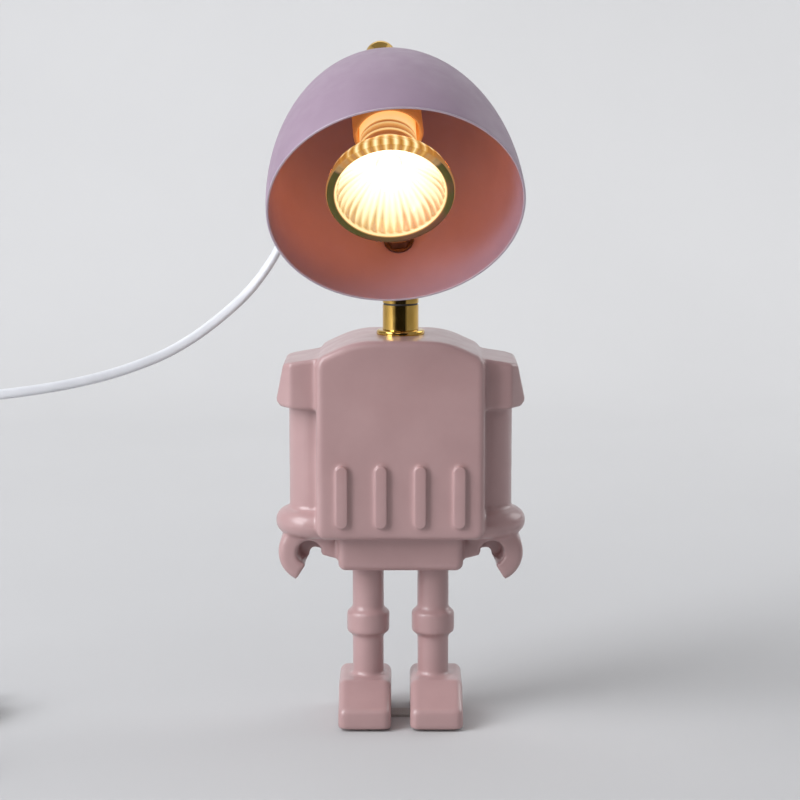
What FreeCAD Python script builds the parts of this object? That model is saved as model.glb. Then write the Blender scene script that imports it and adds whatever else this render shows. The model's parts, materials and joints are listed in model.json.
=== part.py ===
"""A desk lamp shaped like a robot: a glazed ceramic figure whose head is a tilting metal lamp shade.

Millimetres, +Z up. The origin is on the table, straight below the brass neck, and the robot looks along -Y.
"""

import FreeCAD, Part
import math
import os

V = FreeCAD.Vector
X, Y, Z = V(1, 0, 0), V(0, 1, 0), V(0, 0, 1)
ORIGIN = V(0, 0, 0)

# Ceramic figure
torso_width = 69.0
torso_depth = 52.0
torso_bottom = 80.8
torso_top = 163.3
torso_flat_half = 11.0  # half of the level stretch of the arched top
torso_crest = 34.0  # radius from the level top into the slope beside it
torso_slope = 25.0  # degrees
torso_corner = 6.0
torso_foot = 3.5  # radius of the two lower corners
torso_edge = 2.6
hips_width = 52.0
hips_depth = 34.0
hips_height = 15.0
hips_corner = 3.0
rib_pitch = 16.1
rib_count = 4
rib_width = 5.6
rib_low, rib_high = 85.6, 112.4
rib_proud = 1.9
arm_spacing = 69.2  # between the axes of the two arms
arm_radius = 12.0
shoulder_reach = 51.5  # from the middle to the outermost point of a shoulder cap
shoulder_top_inner, shoulder_top_outer = 156.2, 152.9
shoulder_low = 133.5
shoulder_depth = 38.0
shoulder_inside = 6.0  # how far a shoulder cap runs into the torso
shoulder_draft = 3.4  # how much further in its top edge stands than its foot
shoulder_cut_across, shoulder_cut_along = 6.0, 8.0  # its corners are cut off in plan
shoulder_edge = 1.6
cuff_radius = 17.8
cuff_low, cuff_high = 78.8, 90.4
hand_centre_x, hand_centre_z = 38.3, 72.0
hand_radius = 13.0
hand_depth = 19.0
hand_edge = 3.0
grip_radius = 4.6
grip_depth = 13.0
grip_lean = 32.0  # degrees from straight down, outwards, of the end of the outer finger
grip_inner = 15.0  # degrees below level of the end of the inner finger
wrist_radius = 8.0
leg_spacing = 27.4
leg_radius = 6.6
knee_radius = 9.0
knee_low, knee_high = 35.0, 47.0
knee_bulge = 1.5
boot_width = 22.0
boot_height = 17.0
boot_toe, boot_heel = -27.5, 20.0
boot_gap = 8.0
boot_toe_height = 8.0
boot_instep = -11.0
boot_edge = 3.2
boot_ankle = 5.0  # how far the leg runs into the boot
pad_thickness = 1.0
pad_inset = 3.5  # from the edge of a boot
pad_corner = 4.0
pad_bridge = 10.0  # width of the strip of felt that joins the two soles

# Brass neck
neck_radius = 7.5
flange_radius = 10.0
flange_thickness = 1.9
flange_edge = 0.9
nipple_radius = 5.0
nipple_bore = 3.6
bush_radius = 8.0
bush_length = 17.0
lower_collar_height = 10.4
collar_hold = 4.5  # length of the nipple inside the lower collar
seam_washer = 0.8
pivot_height = 193.4
eye_radius = 5.4
eye_thickness = 5.0
slot_clearance = 0.12  # on each side of the eye, taken up by the friction washers
cheek_above_pivot = 5.6
slot_below_pivot = 6.6
flat_half = 6.3  # from the middle to the milled flat on each cheek
fork_edge = 1.5
fork_web = 3.0  # under the head of the swivel screw
pivot_screw_radius = 2.0
swivel_screw_radius = 2.0
swivel_head_height = 2.6
socket_across = 2.5
tilt_head_height = 2.4
spring_thickness = 0.8
tilt_nut_radius = 4.6
tilt_nut_width = 4.2
tilt_nut_grooves = 18
running_fit = 0.04

# Shade, in its own frame: w is the distance from the rim along the axis to the crown
shade_radius = 50.0
shade_depth = 73.0
shade_wall = 1.0
shade_raise = 38.9  # degrees that the crown is above level
head_turn = -3.0  # degrees that the head stands turned on the neck
shade_roll = -6.7  # degrees that the shade is turned on its stud
stud_w = 30.0  # where the stud goes through the wall
stud_reach = 17.1  # from the pivot to the outside of the shade
stud_radius = 3.0
stud_shank_radius = 4.0
stud_foot_radius = 6.5
stud_foot = 2.0
stud_thread = 8.5  # length inside the shade
stud_nut_across, stud_nut_height = 10.0, 5.0
stud_washer_radius, stud_washer_thickness = 6.2, 1.0
stud_washer_gap = 0.5  # a flat washer bridges the curve of the wall

# Bulb and lampholder
bulb_radius = 25.0
bulb_face_w = 6.0
bulb_rim = 3.0
bulb_length = 46.5
bulb_base_radius = 11.25
bulb_base_length = 12.5
bulb_glass = 1.2
pin_spacing = 10.0
pin_radius = 1.5
pin_head_radius = 2.4
pin_length = 7.0
holder_radius = 14.0
holder_length = 13.0
holder_screw_y = 9.5
holder_screw_radius, holder_head_radius = 1.5, 2.7
holder_head_sunk = 2.4
contact_radius, contact_thickness = 1.9, 1.6
pin_clearance = 0.3
bracket_thickness = 1.2
lock_nut_height = 3.4
lock_nut_across = 14.0
nipple_above_crown = 6.0
crown_fitting_radius = 6.2
crown_fitting_length = 25.0
crown_outlet_w = 86.0
crown_outlet_angle = 225.0  # round the axis, from +X of the shade towards its underside

# Cord
cord_diameter = 4.0
bushing_length = 20.0
upper_route = [
    (-39.5, 21.5, 242.5), (-43.0, 26.0, 226.5), (-46.5, 25.5, 208.5), (-54.0, 21.5, 191.5),
    (-69.5, 18.0, 172.5),
]
join_point = (-86.5, 15.0, 160.5)
lower_route = [
    (-103.5, 11.5, 151.8), (-120.0, 8.5, 146.0), (-136.0, 5.5, 142.4), (-151.5, 3.0, 139.7),
    (-168.0, 1.0, 137.6), (-187.0, 1.0, 135.6), (-207.5, 3.5, 130.0), (-225.0, 7.5, 119.0),
    (-237.5, 12.0, 102.5), (-246.0, 16.5, 83.0), (-250.5, 21.0, 62.5), (-252.0, 24.0, 43.0),
    (-252.0, 24.0, 22.6), (-252.0, 17.6, 11.4), (-252.0, 6.4, 5.0),
]
switch_far, switch_near = -6.0, -64.0
switch_width = 24.0
switch_height = 15.0
switch_split = 8.0
cord_in_switch = 5.0  # height of the cord's middle where it enters the switch
cord_held = 6.0  # length of cord inside each end of the switch
switch_wall = 1.8
rocker_width, rocker_length = 12.0, 20.0
rocker_pivot_z = 11.0
rocker_tilt = 7.0
rocker_axle_radius = 1.2
coil_centre = (-222.0, -96.0)
coil_outer = 30.0
coil_pitch = 5.1
coil_turns_per_layer = 2
coil_layers = 4
coil_floor_gap = 0.1
plug_axis_z = 7.0
plug_relief_start = -54.0
plug_relief_length = 22.0
plug_length = 36.0
plug_width = 34.0
plug_thickness = 13.4
plug_pin_radius = 2.0
plug_pin_spacing = 18.6
plug_pin_length = 19.0

switch_x = coil_centre[0] - coil_outer  # the cord runs straight from the switch onto the coil

parts = {}


def keep(name, shape):
    """Writes down one named piece; several solids in one name are a group."""
    parts[name] = shape


def group(shapes):
    return Part.makeCompound(shapes)


def cylinder(radius, low, high, x=0.0, y=0.0):
    return Part.makeCylinder(radius, high - low, V(x, y, low), Z)


def rod(radius, start, end):
    return Part.makeCylinder(radius, (end - start).Length, start, end - start)


def box(x0, x1, y0, y1, z0, z1):
    return Part.makeBox(x1 - x0, y1 - y0, z1 - z0, V(x0, y0, z0))


def both_sides(shape):
    return [shape, shape.mirror(ORIGIN, X)]


def polygon(points):
    return Part.Face(Part.makePolygon(points + points[:1]))


def hexagon(across, low, high, x=0.0, y=0.0):
    r = across / math.sqrt(3)
    corners = [V(x + r * math.cos(k * math.pi / 3), y + r * math.sin(k * math.pi / 3), low) for k in range(6)]
    return polygon(corners).extrude(V(0, 0, high - low))


def outline(edges):
    return Part.Face(Part.Wire(edges))


def line(a, b):
    return Part.LineSegment(a, b).toShape()


def arc(a, middle, b):
    return Part.Arc(a, middle, b).toShape()


def revolved(edges):
    """A solid of revolution about Z from a closed outline in the XZ plane."""
    return outline(edges).revolve(ORIGIN, Z, 360)


def edges_where(shape, test):
    return [e for e in shape.Edges if test(e)]


# Ceramic figure


def torso():
    half, low, slope = torso_width / 2, torso_bottom, math.radians(torso_slope)
    crest_end = V(torso_flat_half + torso_crest * math.sin(slope), 0,
                  torso_top - torso_crest * (1 - math.cos(slope)))
    crest_middle = V(torso_flat_half + torso_crest * math.sin(slope / 2), 0,
                     torso_top - torso_crest * (1 - math.cos(slope / 2)))
    corner_end = V(half - torso_corner * (1 - math.sin(slope)), 0, 0)
    corner_end.z = crest_end.z - (corner_end.x - crest_end.x) * math.tan(slope)
    turn = corner_end.z - torso_corner * math.cos(slope)
    middle = (math.pi / 2 - slope) / 2
    corner_middle = V(half - torso_corner * (1 - math.cos(middle)), 0, turn + torso_corner * math.sin(middle))
    level = V(torso_flat_half, 0, torso_top)
    bend = torso_foot * (1 - math.sqrt(0.5))
    right = [
        arc(level, crest_middle, crest_end),
        line(crest_end, corner_end),
        arc(corner_end, corner_middle, V(half, 0, turn)),
        line(V(half, 0, turn), V(half, 0, low + torso_foot)),
        arc(V(half, 0, low + torso_foot), V(half - bend, 0, low + bend), V(half - torso_foot, 0, low)),
        line(V(half - torso_foot, 0, low), V(0, 0, low)),
        line(V(0, 0, torso_top), level),
    ]
    left = [edge.mirror(ORIGIN, X) for edge in right]
    face = Part.Face(Part.Wire(Part.__sortEdges__(right + left)))
    face.translate(V(0, -torso_depth / 2, 0))
    solid = face.extrude(V(0, torso_depth, 0)).removeSplitter()
    rim = edges_where(solid, lambda e: abs(abs(e.CenterOfMass.y) - torso_depth / 2) < 0.01)
    return solid.makeFillet(torso_edge, rim)


def front_ribs():
    r = rib_width / 2
    y = -torso_depth / 2 + r - rib_proud
    ribs = []
    for k in range(rib_count):
        x = (k - (rib_count - 1) / 2) * rib_pitch
        ribs += [
            cylinder(r, rib_low + r, rib_high - r, x, y),
            Part.makeSphere(r, V(x, y, rib_low + r)),
            Part.makeSphere(r, V(x, y, rib_high - r)),
        ]
    return ribs


def shoulder():
    inner = torso_width / 2 - shoulder_inside
    front = polygon([
        V(inner, 0, shoulder_top_inner), V(shoulder_reach - shoulder_draft, 0, shoulder_top_outer),
        V(shoulder_reach, 0, shoulder_low + shoulder_draft), V(shoulder_reach - 2.0, 0, shoulder_low + 1.0),
        V(inner, 0, shoulder_low),
    ])
    half = shoulder_depth / 2
    front.translate(V(0, -half, 0))
    plan = polygon([
        V(inner, -half, 0), V(shoulder_reach - shoulder_cut_across, -half, 0),
        V(shoulder_reach, -half + shoulder_cut_along, 0), V(shoulder_reach, half - shoulder_cut_along, 0),
        V(shoulder_reach - shoulder_cut_across, half, 0), V(inner, half, 0),
    ])
    cap = front.extrude(V(0, shoulder_depth, 0)).common(plan.extrude(V(0, 0, torso_top)))
    outer = edges_where(cap, lambda e: min(v.X for v in e.Vertexes) > inner + 0.1)
    return cap.makeFillet(shoulder_edge, outer)


def arm():
    x = arm_spacing / 2
    minor = (cuff_high - cuff_low) / 2
    ring = Part.makeTorus(cuff_radius - minor, minor, V(x, 0, cuff_low + minor), Z)
    upper = cylinder(arm_radius, cuff_low + 1, shoulder_low + 2, x)
    return [upper, ring, cylinder(cuff_radius - minor, cuff_low, cuff_high, x)]


def hand():
    half = hand_depth / 2
    centre = V(hand_centre_x, -half, hand_centre_z)
    palm = Part.makeCylinder(hand_radius, hand_depth, centre, Y)
    palm = palm.makeFillet(hand_edge, edges_where(palm, lambda e: len(e.Vertexes) == 1))
    grip = Part.makeCone(grip_radius + 0.8, grip_radius - 0.4, grip_depth, centre - V(0, 0.5, 0), Y)
    lean, level, reach = math.radians(grip_lean), math.radians(grip_inner), 2 * hand_radius
    outer_start, inner_start = V(0.3, 0, -0.7 * grip_radius), V(-0.85 * grip_radius, 0, -0.5)
    mouth = polygon([
        ORIGIN, outer_start, outer_start + V(math.sin(lean), 0, -math.cos(lean)) * reach,
        V(-reach, 0, -reach), inner_start + V(-math.cos(level), 0, -math.sin(level)) * reach, inner_start,
    ]).extrude(V(0, hand_depth + 2, 0))
    mouth.translate(centre - V(0, 1, 0))
    claw = palm.cut(grip.fuse(mouth))
    wrist = cylinder(wrist_radius, hand_centre_z + grip_radius + 3.5, cuff_low + 3, arm_spacing / 2 + 1.5)
    return [claw, wrist]


def leg():
    x = leg_spacing / 2
    minor = (knee_high - knee_low) / 2
    knee = Part.makeTorus(knee_radius - minor + knee_bulge, minor, V(x, 0, knee_low + minor), Z)
    knee = knee.common(cylinder(knee_radius, knee_low, knee_high, x))
    shaft = cylinder(leg_radius, pad_thickness + boot_height - boot_ankle, torso_bottom - hips_height + 2, x)
    inner, outer = boot_gap / 2, boot_gap / 2 + boot_width
    low, high = pad_thickness, pad_thickness + boot_height
    boot = polygon([
        V(inner, boot_toe, low), V(inner, boot_heel, low), V(inner, boot_heel, high - 3),
        V(inner, boot_heel - 4, high), V(inner, boot_instep, high), V(inner, boot_toe, low + boot_toe_height),
    ]).extrude(V(outer - inner, 0, 0))
    soft = edges_where(boot, lambda e: e.CenterOfMass.z > low + 0.1)
    return [shaft, knee, boot.makeFillet(boot_edge, soft)]


def ceramic_body():
    hips = box(-hips_width / 2, hips_width / 2, -hips_depth / 2, hips_depth / 2,
               torso_bottom - hips_height, torso_bottom + 2)
    sides = edges_where(hips, lambda e: e.CenterOfMass.z < torso_bottom + 1)
    pieces = [hips.makeFillet(hips_corner, sides)] + front_ribs()
    for side in [shoulder()] + arm() + hand() + leg():
        pieces += both_sides(side)
    figure = torso().multiFuse(pieces)
    seat = cylinder(bush_radius, torso_top - bush_length, torso_top + 1)
    return figure.cut(seat).removeSplitter()


def foot_pads():
    """One piece of felt, cut to both soles with a strip between them, so that it covers the origin."""
    inner, outer = boot_gap / 2 + pad_inset, boot_gap / 2 + boot_width - pad_inset
    sole = box(inner, outer, boot_toe + pad_inset, boot_heel - pad_inset, 0, pad_thickness)
    sole = sole.makeFillet(pad_corner, edges_where(sole, lambda e: abs(e.tangentAt(e.FirstParameter).z) > 0.9))
    reach = inner + pad_corner
    strip = box(-reach, reach, -pad_bridge / 2, pad_bridge / 2, 0, pad_thickness)
    return strip.fuse(both_sides(sole)).removeSplitter()


# Neck: the flange and lower collar stay, the forked upper collar turns on the seam washer

collar_low = torso_top + flange_thickness
seam_low = collar_low + lower_collar_height
seam_high = seam_low + seam_washer
nipple_top = collar_low + collar_hold
cheek_top = pivot_height + cheek_above_pivot
slot_floor = pivot_height - slot_below_pivot
head_seat = slot_floor - fork_web
slot_half = eye_thickness / 2 + slot_clearance
pivot = V(0, 0, pivot_height)


def turned(shape):
    """Turns a piece of the neck or head as the head stands on the neck."""
    shape.rotate(ORIGIN, Z, head_turn)
    return shape


def fixed_neck():
    bush = cylinder(bush_radius, torso_top - bush_length, torso_top)
    keep("neck_bush", bush.cut(cylinder(nipple_radius, torso_top - bush_length, torso_top)))
    nipple = cylinder(nipple_radius, torso_top - bush_length + 1, nipple_top)
    keep("neck_nipple", nipple.cut(cylinder(nipple_bore, 0, nipple_top)))
    flange = cylinder(flange_radius, torso_top, collar_low)
    flange = flange.makeFillet(flange_edge, edges_where(
        flange, lambda e: len(e.Vertexes) == 1 and e.CenterOfMass.z > torso_top + 1))
    keep("neck_flange", flange.cut(cylinder(nipple_radius, torso_top, collar_low)))
    collar = cylinder(neck_radius, collar_low, seam_low)
    collar = collar.cut(cylinder(nipple_radius, collar_low, nipple_top))
    keep("neck_lower_collar", collar.cut(cylinder(swivel_screw_radius, collar_low, seam_low)))


def upper_neck():
    bore = swivel_screw_radius + running_fit
    washer = cylinder(neck_radius - 0.4, seam_low, seam_high)
    keep("seam_washer", turned(washer.cut(cylinder(bore, seam_low, seam_high))))
    fork = cylinder(neck_radius, seam_high, cheek_top)
    fork = fork.makeFillet(fork_edge, edges_where(
        fork, lambda e: len(e.Vertexes) == 1 and e.CenterOfMass.z > cheek_top - 1))
    fork = fork.cut(box(-slot_half, slot_half, -20, 20, slot_floor, cheek_top + 1))
    for side in (-1, 1):
        fork = fork.cut(box(side * (flat_half + 5) - 5, side * (flat_half + 5) + 5, -20, 20,
                            pivot_height - eye_radius, cheek_top + 1))
    fork = fork.cut(cylinder(swivel_screw_radius * 2.1, head_seat, slot_floor + 1))
    fork = fork.cut(cylinder(bore, seam_high, slot_floor))
    fork = fork.cut(rod(pivot_screw_radius, pivot - X * 20, pivot + X * 20))
    keep("neck_fork", turned(fork))
    screw = cylinder(swivel_screw_radius, nipple_top, head_seat)
    head = cylinder(swivel_screw_radius * 2, head_seat, head_seat + swivel_head_height)
    head = head.cut(hexagon(socket_across, head_seat + 1.0, head_seat + 3.0))
    keep("swivel_screw", screw.fuse(head))


def tilt_pivot():
    flat, r = X * flat_half, pivot_screw_radius
    shank = rod(r, pivot - flat, pivot + flat + X * (spring_thickness + tilt_nut_width + 0.2))
    head = rod(r * 1.9, pivot - flat - X * tilt_head_height, pivot - flat)
    head = head.makeFillet(1.2, edges_where(
        head, lambda e: len(e.Vertexes) == 1 and e.CenterOfMass.x < -flat_half - 1))
    slot = box(-flat_half - 3, -flat_half - 1.4, -5, 5, pivot_height - 0.5, pivot_height + 0.5)
    keep("tilt_screw", turned(shank.fuse(head.cut(slot))))
    nut_start = pivot + flat + X * spring_thickness
    nut = rod(tilt_nut_radius, nut_start, nut_start + X * tilt_nut_width)
    nut = nut.makeChamfer(0.5, edges_where(nut, lambda e: len(e.Vertexes) == 1))
    grooves = []
    for k in range(tilt_nut_grooves):
        t = 2 * math.pi * k / tilt_nut_grooves
        at = pivot + flat + V(0, math.cos(t), math.sin(t)) * (tilt_nut_radius + 0.1)
        grooves.append(rod(0.45, at, at + X * (tilt_nut_width + 2)))
    nut = nut.cut(group(grooves)).cut(rod(r, pivot, pivot + X * 20))
    keep("tilt_nut", turned(nut))
    spring = rod(4.0, pivot + flat, nut_start)
    keep("tilt_washer", turned(spring.cut(rod(r, pivot, pivot + X * 20))))


# Head: everything that tilts, drawn about the axis of the shade and then put in place

stud_t = math.asin(stud_w / shade_depth)
stud_r = shade_radius * math.cos(stud_t)
wall_slope = V(0, stud_r / shade_radius**2, stud_w / shade_depth**2)
stud_out = V(wall_slope).normalize()


def head_placement():
    """Where the shade's own frame stands: seated on the stud, rolled on it, and turned with the head."""
    raised = FreeCAD.Rotation(X, shade_raise - 90)
    out = raised.multVec(stud_out)
    rim_middle = pivot - out * stud_reach - raised.multVec(V(0, stud_r, stud_w))
    roll = FreeCAD.Placement(ORIGIN, FreeCAD.Rotation(out, shade_roll), pivot)
    turn = FreeCAD.Placement(ORIGIN, FreeCAD.Rotation(Z, head_turn))
    return turn.multiply(roll).multiply(FreeCAD.Placement(rim_middle, raised))


head_frame = head_placement()


def in_head(shape):
    placed = shape.copy()
    placed.Placement = head_frame.multiply(placed.Placement)
    return placed


def bowl(radius, depth):
    """A solid half ellipsoid over the rim plane."""
    curve = Part.Ellipse(V(0, 0, depth), V(radius, 0, 0), ORIGIN)
    top, edge = V(0, 0, depth), V(radius, 0, 0)
    quarter = Part.ArcOfEllipse(curve, *sorted([curve.parameter(top), curve.parameter(edge)]))
    return revolved([quarter.toShape(), line(top, ORIGIN), line(ORIGIN, edge)])


def shade():
    solid = bowl(shade_radius, shade_depth).cut(bowl(shade_radius - shade_wall, shade_depth - shade_wall))
    solid = solid.cut(cylinder(nipple_radius, shade_depth - 10, shade_depth + 5))
    wall = V(0, stud_r, stud_w)
    solid = solid.cut(rod(stud_radius, wall - stud_out * 6, wall + stud_out * 6))
    keep("shade", in_head(solid))


def shade_stud():
    """The eye on the tilt screw and its stud, which goes through the shade to a nut."""
    wall = V(0, stud_r, stud_w)
    eye_middle = wall + stud_out * stud_reach
    across = X * (eye_thickness / 2)
    eye = rod(eye_radius, eye_middle - across, eye_middle + across)
    flat = Part.makeBox(eye_thickness, 6.0, 11.5, V(-eye_thickness / 2, -3.0, 0))
    flat.Placement = FreeCAD.Placement(eye_middle, FreeCAD.Rotation(Z, -stud_out))
    shank = rod(stud_shank_radius, wall + stud_out * (stud_reach - 10.6), wall)
    foot = rod(stud_foot_radius, wall + stud_out * stud_foot, wall - stud_out * 1.2)
    foot = foot.cut(bowl(shade_radius, shade_depth))
    thread = rod(stud_radius, wall + stud_out, wall - stud_out * stud_thread)
    stud = eye.fuse([flat, shank, foot, thread])
    bore = rod(pivot_screw_radius + running_fit, eye_middle - X * 9, eye_middle + X * 9)
    unrolled = FreeCAD.Placement(ORIGIN, FreeCAD.Rotation(stud_out, -shade_roll), eye_middle)
    stud = stud.cut(bore)
    stud.Placement = unrolled.multiply(stud.Placement)
    keep("shade_stud", in_head(stud))
    seat = shade_wall + stud_washer_gap
    nut_seat = seat + stud_washer_thickness
    washer = rod(stud_washer_radius, wall - stud_out * seat, wall - stud_out * nut_seat)
    keep("stud_washer", in_head(washer.cut(rod(stud_radius, wall, wall - stud_out * 9))))
    nut = hexagon(stud_nut_across, 0, stud_nut_height).cut(cylinder(stud_radius, -1, stud_nut_height + 1))
    nut.Placement = FreeCAD.Placement(wall - stud_out * nut_seat, FreeCAD.Rotation(Z, -stud_out))
    keep("stud_nut", in_head(nut))


holder_low = bulb_face_w + bulb_length + 0.3
holder_high = holder_low + holder_length
bracket_high = holder_high + bracket_thickness
base_low = bulb_face_w + bulb_length - bulb_base_length


def bulb():
    r, low, rim = bulb_radius, bulb_face_w, bulb_face_w + bulb_rim
    neck_r, top = bulb_base_radius, base_low
    inner, glass = r - 3.4, bulb_glass
    side = V(0.5 * (r + neck_r) + 3.0, 0, 0.5 * (rim + top) + 1.0)
    inner_side = V(side.x - glass - 1.4, 0, side.z - 1.0)
    reflector = revolved([
        line(V(r, 0, low + 0.6), V(r, 0, rim)),
        arc(V(r, 0, rim), side, V(neck_r, 0, top)),
        line(V(neck_r, 0, top), V(neck_r - 2.5, 0, top)),
        arc(V(neck_r - 2.5, 0, top), inner_side, V(inner, 0, low + 2.2)),
        line(V(inner, 0, low + 2.2), V(inner, 0, low + 0.6)),
        line(V(inner, 0, low + 0.6), V(r, 0, low + 0.6)),
    ])
    keep("bulb_reflector", in_head(reflector))
    keep("bulb_front_glass", in_head(cylinder(inner, low + 0.6, low + 2.2)))
    base = cylinder(neck_r, top, top + bulb_base_length)
    base = base.makeChamfer(1.0, edges_where(
        base, lambda e: len(e.Vertexes) == 1 and e.CenterOfMass.z > top + 1))
    keep("bulb_base", in_head(base))
    pins = []
    for side_x in (-pin_spacing / 2, pin_spacing / 2):
        start = top + bulb_base_length
        pins.append(cylinder(pin_radius, start, start + pin_length - 2.0, side_x).fuse(
            cylinder(pin_head_radius, start + pin_length - 2.4, start + pin_length, side_x)))
    keep("bulb_pins", in_head(group(pins)))
    capsule = cylinder(4.5, top - 16, top - 3).fuse([
        Part.makeSphere(4.5, V(0, 0, top - 16)), box(-3.6, 3.6, -1.4, 1.4, top - 4, top)])
    keep("bulb_capsule", in_head(capsule))


def lampholder():
    body = cylinder(holder_radius, holder_low, holder_high)
    body = body.makeFillet(1.2, edges_where(body, lambda e: len(e.Vertexes) == 1))
    contact_low = holder_low + pin_length + pin_clearance + 0.1
    for side_x in (-pin_spacing / 2, pin_spacing / 2):
        body = body.cut(cylinder(pin_head_radius + pin_clearance, holder_low - 1, contact_low, side_x))
    contacts, screws = [], []
    for side_x in (-pin_spacing / 2, pin_spacing / 2):
        contact = cylinder(contact_radius, contact_low, contact_low + contact_thickness, side_x)
        body = body.cut(contact)
        contacts.append(contact)
    head_seat_w = holder_low + holder_head_sunk
    for side_y in (-holder_screw_y, holder_screw_y):
        body = body.cut(cylinder(holder_screw_radius, holder_low - 1, holder_high + 1, 0, side_y))
        body = body.cut(cylinder(holder_head_radius + 0.1, holder_low - 1, head_seat_w, 0, side_y))
        screw = cylinder(holder_screw_radius, head_seat_w, bracket_high, 0, side_y)
        screws.append(screw.fuse(cylinder(holder_head_radius, holder_low + 0.5, head_seat_w, 0, side_y)))
    keep("lampholder", in_head(body))
    keep("lampholder_contacts", in_head(group(contacts)))
    keep("lampholder_screws", in_head(group(screws)))
    bracket = cylinder(holder_radius - 1, holder_high, bracket_high)
    bracket = bracket.cut(cylinder(nipple_radius, holder_high, bracket_high))
    for side_y in (-holder_screw_y, holder_screw_y):
        bracket = bracket.cut(cylinder(holder_screw_radius, holder_high, bracket_high, 0, side_y))
    keep("holder_bracket", in_head(bracket))


outlet = V(math.cos(math.radians(-crown_outlet_angle)), math.sin(math.radians(-crown_outlet_angle)), 0)


def crown():
    """The hollow thread through the crown, its lock nut, and the brass fitting that the cord comes out of."""
    nipple = cylinder(nipple_radius, holder_high, shade_depth + nipple_above_crown)
    keep("crown_nipple", in_head(nipple.cut(cylinder(nipple_bore, 0, 200))))
    nut = hexagon(lock_nut_across, bracket_high, bracket_high + lock_nut_height)
    keep("crown_lock_nut", in_head(nut.cut(cylinder(nipple_radius, 0, 200))))
    low, high, r = shade_depth - 2, shade_depth + crown_fitting_length, crown_fitting_radius
    dome = cylinder(r, low, high)
    dome = dome.makeFillet(0.7 * r, edges_where(
        dome, lambda e: len(e.Vertexes) == 1 and e.CenterOfMass.z > high - 1))
    dome = dome.cut(bowl(shade_radius, shade_depth))
    dome = dome.cut(cylinder(nipple_radius, low, shade_depth + nipple_above_crown))
    dome = dome.cut(cylinder(4.0, shade_depth + nipple_above_crown - 1, high - 6))
    start = V(0, 0, crown_outlet_w)
    dome = dome.cut(rod(cord_diameter / 2 + 1.0, start, start + outlet * 20))
    keep("crown_fitting", in_head(dome))
    inner, outer = 4.0, r + 0.8
    plain = rod(cord_diameter / 2 + 1.0, start + outlet * inner, start + outlet * outer)
    collar = rod(cord_diameter / 2 + 1.8, start + outlet * outer, start + outlet * (outer + 1.6))
    taper = Part.makeCone(cord_diameter / 2 + 1.5, cord_diameter / 2 + 0.5, bushing_length - 1.6,
                          start + outlet * (outer + 1.6), outlet)
    collar = collar.cut(rod(r + 0.02, V(0, 0, low), V(0, 0, high)))
    keep("cord_bushing", in_head(plain.fuse([collar, taper])))


# Cord: straight runs joined by tangent arcs, then a coil of loops


def route_edges(name, points):
    """Straight runs with an arc at each point, as wide as its two runs allow."""
    edges, start, radii = [], points[0], []
    for before, corner, after in zip(points, points[1:], points[2:]):
        back, ahead = before - corner, after - corner
        turn = math.pi - back.getAngle(ahead)
        cut = 0.45 * min(back.Length, ahead.Length)
        into, out = corner + V(back).normalize() * cut, corner + V(ahead).normalize() * cut
        radii.append(cut / math.tan(turn / 2))
        middle = (into + out) * 0.5
        bulge = (corner - middle).normalize() * ((into - middle).Length * math.tan(turn / 4))
        edges += [line(start, into), arc(into, middle + bulge, out)]
        start = out
    edges.append(line(start, points[-1]))
    print(name, "radii", [round(r) for r in radii], "least", round(min(radii), 1))
    return edges


def biarc(p0, t0, p1, t1):
    """Two tangent arcs from p0 along t0 to p1 along t1."""
    v, t = p1 - p0, t0 + t1
    bend = 2 * (1 - t0.dot(t1))
    reach = (-v.dot(t) + math.sqrt(v.dot(t) ** 2 + bend * v.dot(v))) / bend
    q0, q1 = p0 + t0 * reach, p1 - t1 * reach
    joint = (q0 + q1) * 0.5
    return [tangent_arc(p0, q0, joint), tangent_arc(joint, q1, p1)]


def tangent_arc(a, corner, b):
    middle = (a + b) * 0.5
    half, rise = (a - middle).Length, (corner - middle).Length
    sag = half * math.tan(math.atan2(rise, half) / 2)
    return arc(a, middle + (corner - middle).normalize() * sag, b)


def tube(name, edges, radius):
    wire = Part.Wire(edges)
    first = wire.Edges[0]
    ring = Part.Wire(Part.Circle(first.valueAt(first.FirstParameter),
                                 first.tangentAt(first.FirstParameter), radius).toShape())
    solid = wire.makePipeShell([ring], True, False)
    print(name, "length", round(wire.Length, 1), "volume share",
          round(solid.Volume / (math.pi * radius**2 * wire.Length), 4), "valid", solid.isValid())
    return solid


layer_angle = 2 * math.pi * coil_turns_per_layer
coil_low = cord_diameter / 2 + coil_floor_gap


def coil_point(step_angle):
    """A point of the coil: layers that spiral in and out again, each climbed to in half a turn."""
    span = layer_angle + math.pi
    layer = min(int(step_angle // span), coil_layers - 1)
    along = step_angle - layer * span
    share = min(along / layer_angle, 1.0)
    depth = share if layer % 2 == 0 else 1 - share
    radius = coil_outer - coil_pitch * coil_turns_per_layer * depth
    climb = max(0.0, (along - layer_angle) / math.pi)
    height = coil_low + coil_pitch * (layer + (1 - math.cos(math.pi * climb)) / 2)
    turn = math.pi + step_angle
    return V(coil_centre[0] + radius * math.cos(turn), coil_centre[1] + radius * math.sin(turn), height)


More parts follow.
